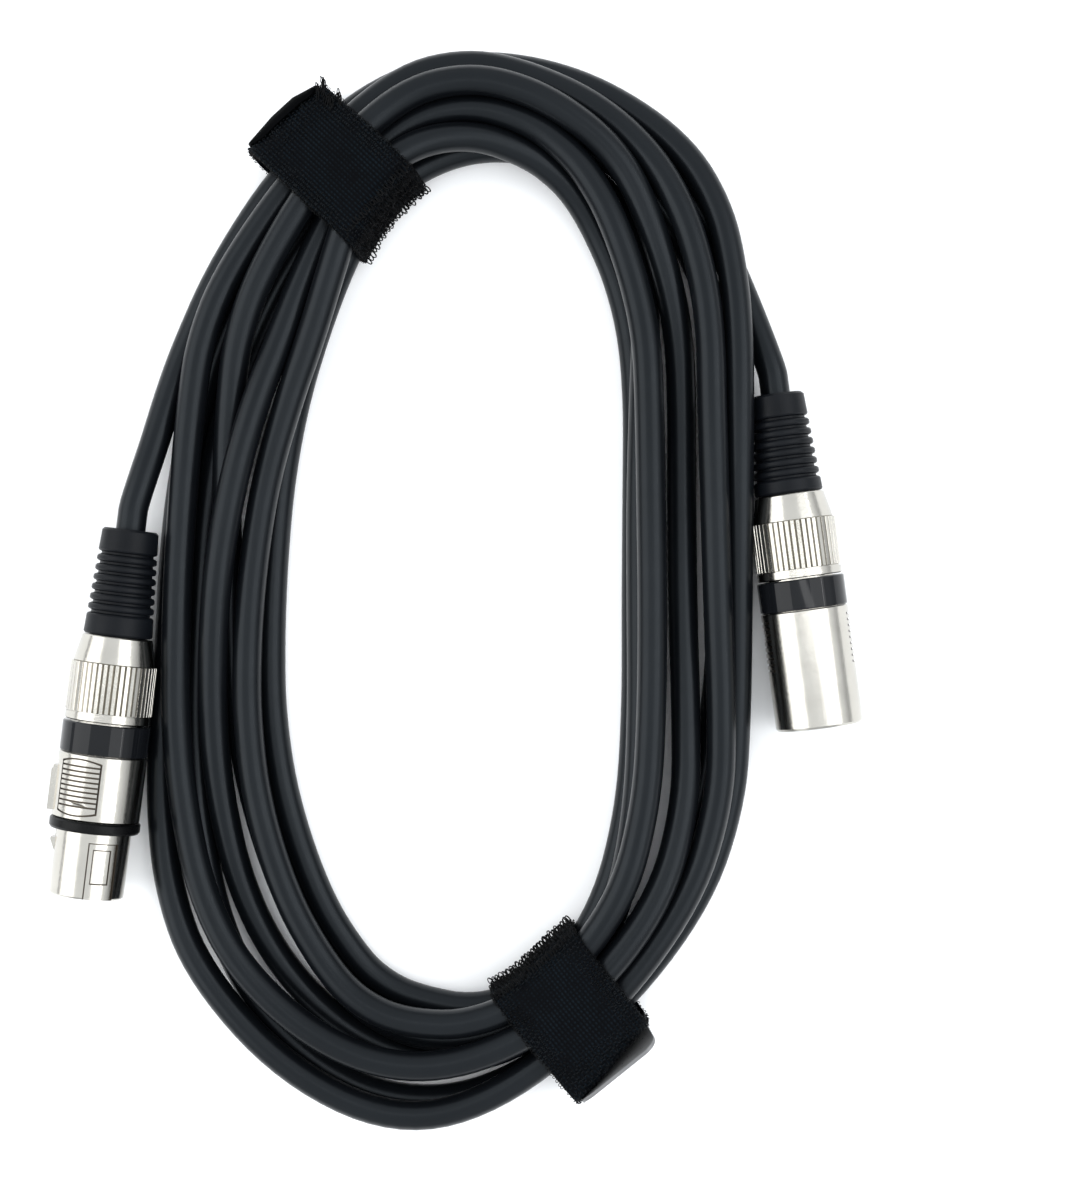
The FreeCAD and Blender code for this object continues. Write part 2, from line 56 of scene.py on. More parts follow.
# ---------------------------------------------------------------- the cable
# One cord from the female boot, with eight strands under the upper strap and seven under
# the lower one, to the male boot. Control points in millimetres, in the order in which the cable runs.
CABLE_R = 0.0032
CABLE_POINTS = [
    # tail
    (-74.03, -12.27, 9.80), (-70.40, 17.51, 9.80), (-70.13, 19.69, 9.80), (-68.40, 25.43, 9.21), (-65.97, 33.54, 7.51), (-63.04, 44.37, 5.64),
    (-59.46, 55.08, 4.24), (-51.50, 73.08, 4.14),
    # strand 1 through the upper strap
    (-36.88, 94.89, 4.89),
    # top and right side
    (-18.58, 110.97, 4.72), (-0.81, 117.34, 3.85), (15.89, 116.60, 4.24), (32.62, 110.83, 5.91), (49.40, 98.90, 8.02), (57.73, 84.65, 10.33),
    (60.68, 69.24, 12.47), (61.58, 55.98, 14.26), (61.64, 42.00, 14.69), (61.67, 21.94, 13.18), (61.64, -1.66, 10.83), (61.63, -25.53, 8.34),
    (60.70, -45.12, 6.24), (53.32, -67.62, 5.17),
    # through the lower strap
    (33.30, -92.92, 4.88),
    # bottom and left side
    (7.95, -109.86, 4.58), (-14.14, -111.64, 3.85), (-32.51, -102.52, 3.36), (-46.13, -86.95, 3.22), (-53.90, -68.37, 3.22), (-57.10, -48.68, 3.22),
    (-57.68, -29.15, 3.22), (-56.97, -10.54, 3.22), (-56.03, 7.31, 3.22), (-54.33, 24.34, 3.22), (-51.07, 40.26, 3.22), (-45.94, 55.36, 3.70),
    (-38.05, 71.22, 4.39),
    # strand 2 through the upper strap
    (-26.86, 86.99, 4.81),
    # top and right side
    (-13.43, 99.31, 4.74), (0.38, 105.14, 5.33), (14.03, 105.45, 6.03), (27.02, 101.32, 6.47), (38.74, 93.20, 6.11), (48.24, 82.43, 5.35),
    (54.80, 70.14, 4.50), (58.25, 56.56, 3.77), (59.52, 40.21, 3.33), (59.58, 19.89, 3.19), (58.89, -3.52, 3.26), (57.20, -27.44, 3.59),
    (52.59, -50.43, 4.16), (42.02, -72.61, 4.77),
    # through the lower strap
    (25.54, -91.52, 5.02),
    # bottom and left side
    (7.01, -102.01, 4.32), (-10.28, -102.38, 3.53), (-25.52, -94.93, 3.14), (-38.43, -81.95, 3.37), (-47.12, -65.16, 4.29), (-51.72, -45.31, 5.78),
    (-53.17, -26.74, 7.94), (-52.81, -9.38, 10.48), (-51.16, 7.96, 12.80), (-47.78, 25.60, 14.05), (-43.12, 42.34, 13.51), (-37.83, 56.18, 11.89),
    (-32.92, 70.35, 10.56),
    # strand 3 through the upper strap
    (-24.58, 88.93, 10.37),
    # top and right side
    (-12.27, 102.86, 10.81), (2.59, 107.18, 11.66), (16.66, 103.29, 12.40), (25.86, 95.63, 12.95), (30.97, 88.13, 13.42), (34.55, 80.78, 14.16),
    (38.63, 69.16, 14.67), (41.49, 56.27, 15.31), (42.14, 41.91, 15.97), (42.44, 21.77, 16.31), (42.75, -1.56, 16.51), (42.58, -25.31, 16.57),
    (41.43, -45.08, 16.41), (36.21, -65.35, 16.07),
    # through the lower strap
    (22.87, -82.95, 14.86),
    # bottom and left side
    (5.07, -92.82, 13.91), (-10.88, -92.61, 12.69), (-21.12, -88.15, 11.33), (-28.48, -80.23, 10.15), (-36.85, -65.81, 9.60), (-43.27, -45.52, 9.19),
    (-45.53, -26.61, 9.16), (-45.41, -9.32, 9.43), (-43.99, 8.02, 9.97), (-41.12, 25.76, 10.88), (-36.13, 42.53, 11.96), (-31.11, 56.23, 13.14),
    (-26.95, 69.48, 14.39),
    # strand 4 through the upper strap
    (-21.76, 85.85, 15.48),
    # top and right side
    (-11.22, 97.16, 14.87), (2.94, 100.67, 12.76), (15.83, 96.80, 9.97), (23.04, 91.80, 8.06), (27.55, 86.50, 6.58), (31.42, 79.84, 4.96),
    (35.78, 70.14, 3.65), (38.97, 57.65, 3.20), (40.14, 42.29, 3.23), (39.94, 22.28, 3.22), (39.75, -1.03, 3.22), (39.80, -24.85, 3.22),
    (38.39, -47.39, 3.53), (32.56, -69.40, 4.32),
    # through the lower strap
    (20.57, -85.48, 4.97),
    # bottom and left side
    (4.76, -91.42, 4.44), (-9.37, -88.58, 3.97), (-16.28, -85.10, 3.74), (-21.80, -80.03, 3.59), (-30.17, -67.26, 3.39), (-37.59, -46.30, 3.22),
    (-40.76, -26.88, 3.22), (-41.03, -9.39, 3.22), (-40.33, 8.11, 3.22), (-38.77, 26.01, 3.27), (-35.56, 43.16, 3.50), (-31.05, 58.11, 3.93),
    (-25.97, 71.67, 4.50),
    # strand 5 through the upper strap
    (-19.97, 83.75, 4.93),
    # top and right side
    (-11.13, 93.04, 4.85), (1.83, 98.92, 4.20), (14.84, 99.27, 3.45), (24.19, 96.13, 3.14), (31.08, 91.23, 3.46), (36.54, 84.28, 4.84),
    (40.48, 73.61, 6.98), (41.77, 59.83, 8.84), (41.14, 42.91, 9.70), (40.53, 21.95, 9.89), (40.59, -1.56, 9.88), (40.79, -25.22, 9.86),
    (39.87, -46.59, 9.86), (35.77, -67.79, 9.89),
    # through the lower strap
    (25.46, -85.82, 9.43),
    # bottom and left side
    (9.96, -95.62, 8.83), (-5.42, -97.13, 7.35), (-18.01, -92.54, 5.53), (-28.20, -82.71, 4.08), (-37.03, -67.54, 3.34), (-43.83, -48.61, 3.18),
    (-47.79, -28.88, 3.35), (-49.55, -9.78, 4.29), (-50.21, 8.76, 5.98), (-50.15, 26.55, 7.86), (-49.06, 42.69, 9.67), (-47.36, 55.81, 11.41),
    (-42.27, 70.05, 13.22),
    # strand 6 through the upper strap
    (-29.32, 91.13, 14.99),
    # top and right side
    (-12.50, 108.09, 15.47), (2.80, 112.37, 15.65), (17.12, 108.91, 15.72), (29.27, 101.29, 15.00), (36.62, 93.54, 14.06), (41.54, 83.85, 12.94),
    (46.26, 69.84, 11.44), (48.83, 56.56, 10.29), (49.45, 42.41, 9.76), (49.45, 22.10, 9.68), (49.62, -1.61, 10.18), (50.31, -25.50, 11.21),
    (50.31, -45.06, 12.59), (44.55, -66.19, 14.27),
    # through the lower strap
    (28.08, -87.04, 15.38),
    # bottom and left side
    (6.66, -99.88, 15.10), (-12.34, -102.55, 13.92), (-30.56, -95.85, 12.51), (-46.94, -81.15, 11.03), (-55.31, -64.90, 9.89), (-59.53, -45.26, 9.15),
    (-61.23, -26.74, 9.02), (-61.05, -9.40, 9.23), (-60.39, 8.07, 9.47), (-59.11, 25.96, 9.66), (-57.52, 42.54, 9.81), (-55.56, 55.74, 9.89),
    (-49.59, 70.69, 10.03),
    # strand 7 through the upper strap
    (-33.14, 93.97, 10.21),
    # top and right side
    (-13.12, 112.52, 10.51), (2.74, 116.64, 10.19), (16.91, 113.43, 10.17), (31.13, 106.68, 10.83), (42.59, 96.22, 11.78), (49.65, 83.83, 13.19),
    (53.86, 69.10, 14.59), (55.36, 55.85, 16.07), (55.54, 41.82, 17.01), (56.12, 21.77, 16.63), (56.92, -1.68, 15.35), (57.91, -25.30, 13.71),
    (57.62, -44.58, 12.18), (50.81, -66.59, 11.41),
    # through the lower strap
    (31.52, -91.74, 11.26),
    # bottom and left side
    (7.44, -110.39, 11.06), (-13.93, -114.63, 10.15), (-37.61, -103.26, 8.68), (-56.51, -82.49, 6.62), (-63.30, -64.81, 4.95), (-65.34, -45.60, 3.78),
    (-64.80, -27.23, 3.22), (-63.34, -9.67, 3.20), (-62.56, 8.09, 3.25), (-60.64, 26.06, 3.20), (-56.81, 43.44, 3.33), (-50.64, 59.92, 3.82),
    (-41.28, 77.26, 4.51),
    # strand 8 through the upper strap
    (-28.38, 94.80, 4.93),
    # top and right side
    (-13.11, 107.04, 4.49), (2.34, 111.52, 3.64), (17.38, 110.27, 3.21), (31.84, 104.69, 3.22), (44.81, 95.63, 3.24), (54.23, 84.90, 3.73),
    # tail
    (59.76, 74.44, 4.92), (63.58, 64.93, 6.70), (66.94, 55.79, 8.45), (69.30, 48.97, 9.50), (69.56, 46.98, 9.50), (73.53, 17.25, 9.50),
]
EXIT_F = (-0.07076, 0.01453, 0.0098)
EXIT_M = (0.06996, 0.04401, 0.0095)


def cord_curve(name, points):
    cu = bpy.data.curves.new(name, "CURVE")
    cu.dimensions = "3D"
    sp = cu.splines.new("NURBS")
    sp.points.add(len(points) - 1)
    for p, q in zip(sp.points, points):
        p.co = (q[0] * 0.001, q[1] * 0.001, q[2] * 0.001, 1.0)
    sp.order_u = 3
    sp.use_endpoint_u = True
    sp.resolution_u = 7
    ob = bpy.data.objects.new(name, cu)
    COL.objects.link(ob)
    return ob


# the route's smooth line, read from its spline; the jacket is a tube along it, made further down
route = cord_curve("cable_route", CABLE_POINTS)
bpy.context.view_layer.update()
line_mesh = bpy.data.meshes.new_from_object(route.evaluated_get(bpy.context.evaluated_depsgraph_get()))
LINE = np.array([v.co[:] for v in line_mesh.vertices])
bpy.data.meshes.remove(line_mesh)
route_data = route.data
bpy.data.objects.remove(route)
bpy.data.curves.remove(route_data)
CABLE_LENGTH = float(np.linalg.norm(np.diff(LINE, axis=0), axis=1).sum())
print("cable length %.3f m, %d points on its line" % (CABLE_LENGTH, len(LINE)))


# ---------------------------------------------------------------- node materials
class Mat:
    """A small helper that builds one procedural material."""

    def __init__(self, name):
        self.m = bpy.data.materials.new(name)
        self.m.use_nodes = True
        self.nt = self.m.node_tree
        self.nt.nodes.clear()
        self.out = self.nt.nodes.new("ShaderNodeOutputMaterial")
        self.p = self.nt.nodes.new("ShaderNodeBsdfPrincipled")
        self.nt.links.new(self.p.outputs[0], self.out.inputs["Surface"])
        self.tc = self.nt.nodes.new("ShaderNodeTexCoord")

    def n(self, kind, **kw):
        nd = self.nt.nodes.new(kind)
        for k, v in kw.items():
            if k.startswith("in_"):
                nd.inputs[k[3:].replace("_", " ")].default_value = v
            else:
                setattr(nd, k, v)
        return nd

    def link(self, a, b):
        self.nt.links.new(a, b)

    def mapping(self, scale, rot=(0, 0, 0)):
        mp = self.n("ShaderNodeMapping")
        mp.inputs["Scale"].default_value = scale
        mp.inputs["Rotation"].default_value = rot
        self.link(self.tc.outputs["Object"], mp.inputs["Vector"])
        return mp.outputs[0]

    def noise(self, scale, detail=2.0, rough=0.5, vec=None, dims="3D", dist=0.0):
        nd = self.n("ShaderNodeTexNoise", noise_dimensions=dims)
        nd.inputs["Scale"].default_value = scale
        nd.inputs["Detail"].default_value = detail
        nd.inputs["Roughness"].default_value = rough
        nd.inputs["Distortion"].default_value = dist
        self.link(vec if vec is not None else self.tc.outputs["Object"], nd.inputs["Vector"])
        return nd.outputs[0]

    def ramp(self, fac, stops):
        r = self.n("ShaderNodeValToRGB")
        e = r.color_ramp.elements
        while len(e) > 1:
            e.remove(e[-1])
        e[0].position, e[0].color = stops[0][0], stops[0][1]
        for pos, colr in stops[1:]:
            k = e.new(pos)
            k.color = colr
        self.link(fac, r.inputs[0])
        return r.outputs[0]

    def remap(self, val, a, b, c, d):
        r = self.n("ShaderNodeMapRange")
        r.inputs["From Min"].default_value = a
        r.inputs["From Max"].default_value = b
        r.inputs["To Min"].default_value = c
        r.inputs["To Max"].default_value = d
        self.link(val, r.inputs["Value"])
        return r.outputs[0]

    def math(self, op, a, b):
        nd = self.n("ShaderNodeMath", operation=op)
        for i, v in enumerate((a, b)):
            if isinstance(v, (int, float)):
                nd.inputs[i].default_value = v
            else:
                self.link(v, nd.inputs[i])
        return nd.outputs[0]

    def bump(self, height, dist, strength=1.0, normal=None):
        b = self.n("ShaderNodeBump")
        b.inputs["Strength"].default_value = strength
        b.inputs["Distance"].default_value = dist
        self.link(height, b.inputs["Height"])
        if normal is not None:
            self.link(normal, b.inputs["Normal"])
        return b.outputs[0]

    def set(self, **kw):
        for k, v in kw.items():
            s = self.p.inputs[k.replace("_", " ")]
            if isinstance(v, (int, float, tuple)):
                s.default_value = v
            else:
                self.link(v, s)
        return self


def rgb(r, g, b):
    return (r, g, b, 1.0)


def jacket_material():
    m = Mat("cable_jacket_pvc")
    drift = m.noise(38.0, 3.0, 0.55)
    grain = m.noise(5200.0, 2.0, 0.6)
    scuff = m.noise(260.0, 4.0, 0.65)
    col = m.ramp(drift, [(0.3, rgb(0.0020, 0.0025, 0.0033)), (0.7, rgb(0.0034, 0.0041, 0.0052))])
    m.set(Base_Color=col)
    m.set(Roughness=m.remap(scuff, 0.3, 0.7, 0.28, 0.35))
    m.set(Normal=m.bump(scuff, 0.00004, 0.5, m.bump(grain, 0.000012, 0.5)))
    m.p.inputs["Specular IOR Level"].default_value = 0.19
    m.p.inputs["Specular Tint"].default_value = (0.84, 0.93, 1.0, 1.0)
    return m.m


def nickel_material(name="satin_nickel", mouth=None, tilt=0.0, shaded_cuts=(), shaded_frames=()):
    """Satin nickel; in each of the given cuts (from, to, inner radius, outer radius) and along the edges of the
    sunk fields in the given frames (from, to, angle from, angle to) the metal is coloured dark and dull: painted
    shade in the shell's engraved grooves and at its sunk edges. Distances run along the connector from its boot."""
    m = Mat(name)
    grain = m.noise(7000.0, 2.0, 0.7)
    cloud = m.noise(120.0, 3.0, 0.6)
    fine = m.noise(2000.0, 3.0, 0.6)
    lo, hi = (0.415, 0.399, 0.362), (0.470, 0.452, 0.412)
    col = m.ramp(cloud, [(0.3, rgb(*lo)), (0.7, rgb(*hi))])
    rough = m.remap(fine, 0.3, 0.7, 0.13, 0.21)
    if shaded_cuts:
        t = math.radians(tilt)
        axis = (-math.sin(t), -math.cos(t), 0.0)
        rel = m.n("ShaderNodeVectorMath", operation="SUBTRACT")
        m.link(m.tc.outputs["Object"], rel.inputs[0])
        rel.inputs[1].default_value = mouth
        along = m.n("ShaderNodeVectorMath", operation="DOT_PRODUCT")
        m.link(rel.outputs["Vector"], along.inputs[0])
        along.inputs[1].default_value = axis
        square = m.n("ShaderNodeVectorMath", operation="DOT_PRODUCT")
        m.link(rel.outputs["Vector"], square.inputs[0])
        m.link(rel.outputs["Vector"], square.inputs[1])
        a = along.outputs["Value"]
        r2 = m.math("SUBTRACT", square.outputs["Value"], m.math("MULTIPLY", a, a))
        # painted shade: this mask marks the grooves and the edges of the sunk fields
        groove_shade_mask = None
        for a0, a1, r0, r1 in shaded_cuts:
            inside = m.math("MULTIPLY", m.math("GREATER_THAN", a, a0), m.math("LESS_THAN", a, a1))
            inside = m.math("MULTIPLY", inside, m.math("GREATER_THAN", r2, r0 * r0))
            inside = m.math("MULTIPLY", inside, m.math("LESS_THAN", r2, r1 * r1))
            groove_shade_mask = inside if groove_shade_mask is None else m.math("MAXIMUM", groove_shade_mask, inside)
        side = m.n("ShaderNodeVectorMath", operation="DOT_PRODUCT")
        m.link(rel.outputs["Vector"], side.inputs[0])
        side.inputs[1].default_value = (-math.cos(t), math.sin(t), 0.0)
        up = m.n("ShaderNodeVectorMath", operation="DOT_PRODUCT")
        m.link(rel.outputs["Vector"], up.inputs[0])
        up.inputs[1].default_value = (0.0, 0.0, 1.0)
        turn = m.math("ARCTAN2", side.outputs["Value"], up.outputs["Value"])

        def field(a0, a1, t0, t1):
            f = m.math("MULTIPLY", m.math("GREATER_THAN", a, a0), m.math("LESS_THAN", a, a1))
            f = m.math("MULTIPLY", f, m.math("GREATER_THAN", turn, t0))
            return m.math("MULTIPLY", f, m.math("LESS_THAN", turn, t1))
        for a0, a1, t0, t1 in shaded_frames:
            e, q = 0.00013, 0.016
            t0, t1 = math.radians(t0), math.radians(t1)
            edge = m.math("SUBTRACT", field(a0 - e, a1 + e, t0 - q, t1 + q), field(a0 + e, a1 - e, t0 + q, t1 - q))
            groove_shade_mask = m.math("MAXIMUM", groove_shade_mask, m.math("MULTIPLY", edge, m.math("GREATER_THAN", r2, 0.0073 ** 2)))
        # painted shade: the masked metal is coloured dark and dull in place of the shadow in these hollows
        painted_groove_shade = m.n("ShaderNodeMix", data_type="RGBA")
        m.link(groove_shade_mask, painted_groove_shade.inputs[0])
        m.link(col, painted_groove_shade.inputs[6])
        painted_groove_shade.inputs[7].default_value = rgb(0.060, 0.050, 0.040)
        col = painted_groove_shade.outputs[2]
        rough = m.math("ADD", rough, m.math("MULTIPLY", groove_shade_mask, 0.25))
    m.set(Base_Color=col, Metallic=1.0)
    m.set(Roughness=rough)
    m.set(Normal=m.bump(grain, 0.000008, 0.6, m.bump(fine, 0.000026, 0.6)))
    return m.m


def rubber_material(name, lo, hi, r0, r1, shine):
    m = Mat(name)
    m.p.inputs["Specular IOR Level"].default_value = shine
    big = m.noise(90.0, 3.0, 0.6)
    grain = m.noise(2600.0, 3.0, 0.65)
    col = m.ramp(big, [(0.3, rgb(*lo)), (0.7, rgb(*hi))])
    m.set(Base_Color=col)
    m.set(Roughness=m.remap(grain, 0.3, 0.7, r0, r1))
    m.set(Normal=m.bump(grain, 0.00002, 0.6))
    return m.m


def gloss_material():
    m = Mat("gloss_black_ring")
    big = m.noise(60.0, 2.0, 0.5)
    fine = m.noise(700.0, 3.0, 0.6)
    col = m.ramp(big, [(0.3, rgb(0.0035, 0.0040, 0.0050)), (0.7, rgb(0.0055, 0.0062, 0.0075))])
    m.set(Base_Color=col)
    m.set(Roughness=m.remap(fine, 0.3, 0.75, 0.04, 0.07))
    m.set(Normal=m.bump(big, 0.0001, 0.1))
    m.p.inputs["Specular IOR Level"].default_value = 0.20
    return m.m


def plastic_material(name, lo, hi, rough=0.45):
    m = Mat(name)
    big = m.noise(120.0, 2.0, 0.5)
    grain = m.noise(1900.0, 2.0, 0.6)
    m.set(Base_Color=m.ramp(big, [(0.3, rgb(*lo)), (0.7, rgb(*hi))]))
    m.set(Roughness=m.remap(grain, 0.3, 0.7, rough - 0.06, rough + 0.08))
    m.set(Normal=m.bump(grain, 0.000015, 0.5))
    return m.m


def silver_material(name, lo, hi, r0, r1):
    m = Mat(name)
    streak = m.noise(700.0, 3.0, 0.6)
    m.set(Base_Color=m.ramp(streak, [(0.3, rgb(*lo)), (0.7, rgb(*hi))]), Metallic=1.0)
    m.set(Roughness=m.remap(streak, 0.3, 0.7, r0, r1))
    m.set(Normal=m.bump(m.noise(2400.0, 2.0, 0.5), 0.00001, 0.4))
    return m.m


def loop_fabric_material(name, lo, hi):
    m = Mat(name)
    yarn = m.noise(1500.0, 3.0, 0.7)
    tone = m.noise(150.0, 3.0, 0.6)
    mix = m.math("MULTIPLY", m.math("ADD", yarn, tone), 0.5)
    # random mix of dark and lighter yarn; in the pile material the lighter end is a painted glint on the curls
    m.set(Base_Color=m.ramp(mix, [(0.40, rgb(*lo)), (0.60, rgb(*hi))]))
    m.set(Roughness=0.6, Normal=m.bump(yarn, 0.00008, 0.8))
    m.p.inputs["Specular IOR Level"].default_value = 0.10
    return m.m


def web_material(name, u, v, lo, hi):
    """Knitted ground: ribs along the strap, each rib a row of small stitches; the colour darkens in the valleys between
    ribs and stitches as painted shade.
    """
    m = Mat(name)

    def wave(direction, pitch, phase):
        dot = m.n("ShaderNodeVectorMath", operation="DOT_PRODUCT")
        m.link(m.tc.outputs["Object"], dot.inputs[0])
        dot.inputs[1].default_value = tuple(c * 2 * math.pi / pitch for c in direction)
        return m.math("SINE", m.math("ADD", dot.outputs["Value"], phase), 0.0)
    yarn = m.noise(1300.0, 3.0, 0.7)
    tone = m.noise(110.0, 3.0, 0.6)
    # the knit's rib and stitch pattern, with painted shade: the colour falls to dark in the valleys between ribs and
    # stitches
    rib_valley_shade = m.remap(wave((v[0], v[1], 0.0), 0.00085, 0.0), -1.0, 1.0, 0.0, 1.0)
    stitch = m.remap(wave((u[0], u[1], 0.6), 0.0009, 1.0), -1.0, 1.0, 0.35, 1.0)
    knit_shade_cell = m.math("MULTIPLY", rib_valley_shade, stitch)
    mix = m.math("MULTIPLY", knit_shade_cell, m.remap(m.math("ADD", yarn, tone), 0.7, 1.3, 0.15, 1.25))
    m.set(Base_Color=m.ramp(mix, [(0.15, rgb(*lo)), (0.85, rgb(*hi))]))
    m.set(Roughness=0.7, Normal=m.bump(mix, 0.00012, 0.9))
    m.p.inputs["Specular IOR Level"].default_value = 0.05
    return m.m


def tab_material(name, lo, hi, shine, r0, r1):
    m = Mat(name)
    big = m.noise(140.0, 3.0, 0.6)
    fine = m.noise(1700.0, 3.0, 0.6)
    m.set(Base_Color=m.ramp(big, [(0.3, rgb(*lo)), (0.7, rgb(*hi))]))
    m.set(Roughness=m.remap(fine, 0.3, 0.7, r0, r1))
    m.set(Normal=m.bump(fine, 0.00002, 0.5))
    m.p.inputs["Specular IOR Level"].default_value = shine
    return m.m


JACKET = jacket_material()
NICKEL = nickel_material()
# the female shell's grooves and the edges of its two sunk fields, and the male shell's grooves, get painted shade
FEMALE_NICKEL = nickel_material("satin_nickel_female_shell", EXIT_F, 6.96,
                                [(0.0495, 0.0628, 0.0085, 0.00930), (0.0690, 0.0772, 0.00747, 0.00755),
                                 (0.0675, 0.0797, 0.00770, 0.00794)],
                                [(0.0680, 0.0830, -52.5, -5.5), (0.0694, 0.0767, -42.5, -13.5)])
MALE_NICKEL = nickel_material("satin_nickel_male_shell", EXIT_M, -7.6, [(0.0482, 0.0608, 0.0085, 0.00930)])
BOOT = rubber_material("boot_rubber", (0.0022, 0.0028, 0.0040), (0.0042, 0.0052, 0.0070), 0.36, 0.48, 0.11)
RING_RUBBER = rubber_material("front_ring_rubber", (0.0018, 0.0019, 0.0021), (0.0034, 0.0035, 0.0037), 0.24, 0.34, 0.10)
GLOSS = gloss_material()
INSERT = plastic_material("insert_plastic", (0.012, 0.012, 0.013), (0.018, 0.018, 0.020), 0.42)
CHUCK = plastic_material("chuck_acetal", (0.62, 0.61, 0.57), (0.72, 0.71, 0.67), 0.4)
CORE_RED = plastic_material("core_red", (0.42, 0.02, 0.015), (0.5, 0.03, 0.02), 0.4)
CORE_WHITE = plastic_material("core_white", (0.66, 0.65, 0.62), (0.75, 0.74, 0.7), 0.4)
CORE_SCREEN = plastic_material("core_screen", (0.02, 0.02, 0.02), (0.04, 0.04, 0.04), 0.5)
SILVER = silver_material("silver_contact", (0.74, 0.73, 0.70), (0.84, 0.83, 0.80), 0.14, 0.24)
SPRING = silver_material("spring_steel", (0.42, 0.42, 0.42), (0.55, 0.55, 0.55), 0.22, 0.34)
# painted glints: the light end of this ramp stands in for glints on the pile's curls; the dark end is the yarn's own
# tone
LOOP_WITH_PAINTED_GLINTS = loop_fabric_material("loop_pile", (0.0005, 0.0007, 0.0010), (0.0052, 0.0070, 0.0088))
CURL = loop_fabric_material("loop_curl", (0.0004, 0.0005, 0.0006), (0.0022, 0.0024, 0.0026))
WEB = {"upper": web_material("knit_ground_upper", (0.7285, -0.6850), (0.6850, 0.7285), (0.0003, 0.0006, 0.0012), (0.0030, 0.0062, 0.0092)),
       "lower": web_material("knit_ground_lower", (0.6220, -0.7830), (0.7830, 0.6220), (0.0003, 0.0006, 0.0012), (0.0030, 0.0062, 0.0092))}
TAB_DARK = tab_material("hook_tape_back_dark", (0.0005, 0.0006, 0.0008), (0.0011, 0.0013, 0.0016), 0.02, 0.55, 0.7)
# painted reflection: the lower tab's light grey base colour stands in for overhead light reflected from its tilted face
TAB_PAINTED_SHEEN = tab_material("hook_tape_back", (0.110, 0.111, 0.112), (0.150, 0.151, 0.152), 0.6, 0.26, 0.36)

NODE_MATERIAL = {
    "female_shell": FEMALE_NICKEL, "female_latch_lever": NICKEL, "female_latch_spring": SPRING,
    "female_front_ring": RING_RUBBER, "female_contact_insert": INSERT, "female_contact_1": SILVER,
    "female_contact_2": SILVER, "female_contact_3": SILVER, "female_wire_1": CORE_SCREEN,
    "female_wire_2": CORE_RED, "female_wire_3": CORE_WHITE, "female_glossy_ring": GLOSS,
    "female_chuck": CHUCK, "female_back_nut": NICKEL, "female_boot": BOOT,
    "male_shell": MALE_NICKEL, "male_contact_insert": INSERT, "male_pin_1": SILVER, "male_pin_2": SILVER,
    "male_pin_3": SILVER, "male_wire_1": CORE_SCREEN, "male_wire_2": CORE_RED, "male_wire_3": CORE_WHITE,
    "male_glossy_ring": GLOSS, "male_chuck": CHUCK, "male_back_nut": NICKEL, "male_boot": BOOT,
    "strap_upper_band": WEB["upper"], "strap_upper_tab": TAB_DARK, "strap_lower_band": WEB["lower"], "strap_lower_tab": TAB_PAINTED_SHEEN,
    "cable_coil": JACKET, "cable_tail_female": JACKET, "cable_tail_male": JACKET,
}
for name, ob in NODES.items():
    mat = NODE_MATERIAL[name]
    if len(ob.data.materials) == 0:
        ob.data.materials.append(mat)
    for i in range(len(ob.material_slots)):
        ob.material_slots[i].material = mat


# ---------------------------------------------------------------- mesh helpers
def mesh_object(name, verts, faces, mat, body, smooth=True):
    me = bpy.data.meshes.new(name)
    me.from_pydata([tuple(v) for v in verts], [], faces)
    me.update()
    if smooth:
        me.polygons.foreach_set("use_smooth", [True] * len(me.polygons))
    me.materials.append(mat)
    ob = bpy.data.objects.new(name, me)
    COL.objects.link(ob)
    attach(ob, body)
    return ob


def tube_into(verts, faces, path, radius, sides=5, cap=True):
    """Adds a small tube along path (a list of Vectors) to verts and faces."""
    n = len(path)
    base = len(verts)
    ref = None
    for i in range(n):
        t = (path[min(i + 1, n - 1)] - path[max(i - 1, 0)]).normalized()
        if ref is None:
            ref = t.orthogonal().normalized()
        ref = (ref - t * ref.dot(t))
        ref = ref.normalized() if ref.length > 1e-9 else t.orthogonal().normalized()
        b = t.cross(ref)
        for k in range(sides):
            a = 2 * math.pi * k / sides
            verts.append(path[i] + ref * (math.cos(a) * radius) + b * (math.sin(a) * radius))
    for i in range(n - 1):
        for k in range(sides):
            a, b = base + i * sides + k, base + i * sides + (k + 1) % sides
            faces.append((a, b, b + sides, a + sides))
    if cap:
        faces.append(tuple(base + k for k in reversed(range(sides))))
        faces.append(tuple(base + (n - 1) * sides + k for k in range(sides)))


# ---------------------------------------------------------------- the cable's jacket
jacket_verts, jacket_faces = [], []
tube_into(jacket_verts, jacket_faces, [Vector(p) for p in LINE], CABLE_R, 32)
cable = mesh_object("cable", jacket_verts, jacket_faces, JACKET, "hank")
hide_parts("cable_coil", "cable_tail_female", "cable_tail_male")


